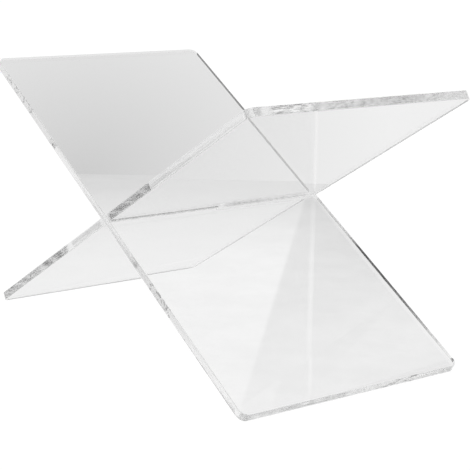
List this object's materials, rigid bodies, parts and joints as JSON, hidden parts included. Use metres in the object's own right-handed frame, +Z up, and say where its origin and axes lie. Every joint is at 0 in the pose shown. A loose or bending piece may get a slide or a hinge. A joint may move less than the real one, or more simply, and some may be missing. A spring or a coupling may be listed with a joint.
{
  "type": "magazine rack",
  "caption": "Free-standing X-shaped magazine rack of clear acrylic sheets that cross through half-width slots, making a wide V-shaped trough.",
  "frame": {"origin": "on the floor, under the middle of the line where the two sheets cross", "axes": "+X along the crossing line, +Y from the front of the rack to its back, +Z up"},
  "size_m": [0.292, 0.5266, 0.3089],
  "materials": {
    "rear_leaning_panel": "clear cast acrylic, polished faces, sawn and polished edges",
    "front_leaning_panel": "clear cast acrylic, polished faces, sawn and polished edges"
  },
  "bodies": {
    "rear_leaning_sheet": {"rear_leaning_panel": "rear_leaning_panel"},
    "front_leaning_sheet": {"front_leaning_panel": "front_leaning_panel"}
  },
  "joints": [
    {"name": "sheets_apart", "type": "slide", "parent": "rear_leaning_sheet", "child": "front_leaning_sheet", "axis": [1, 0, 0], "range_m": [0, 0.3]}
  ]
}
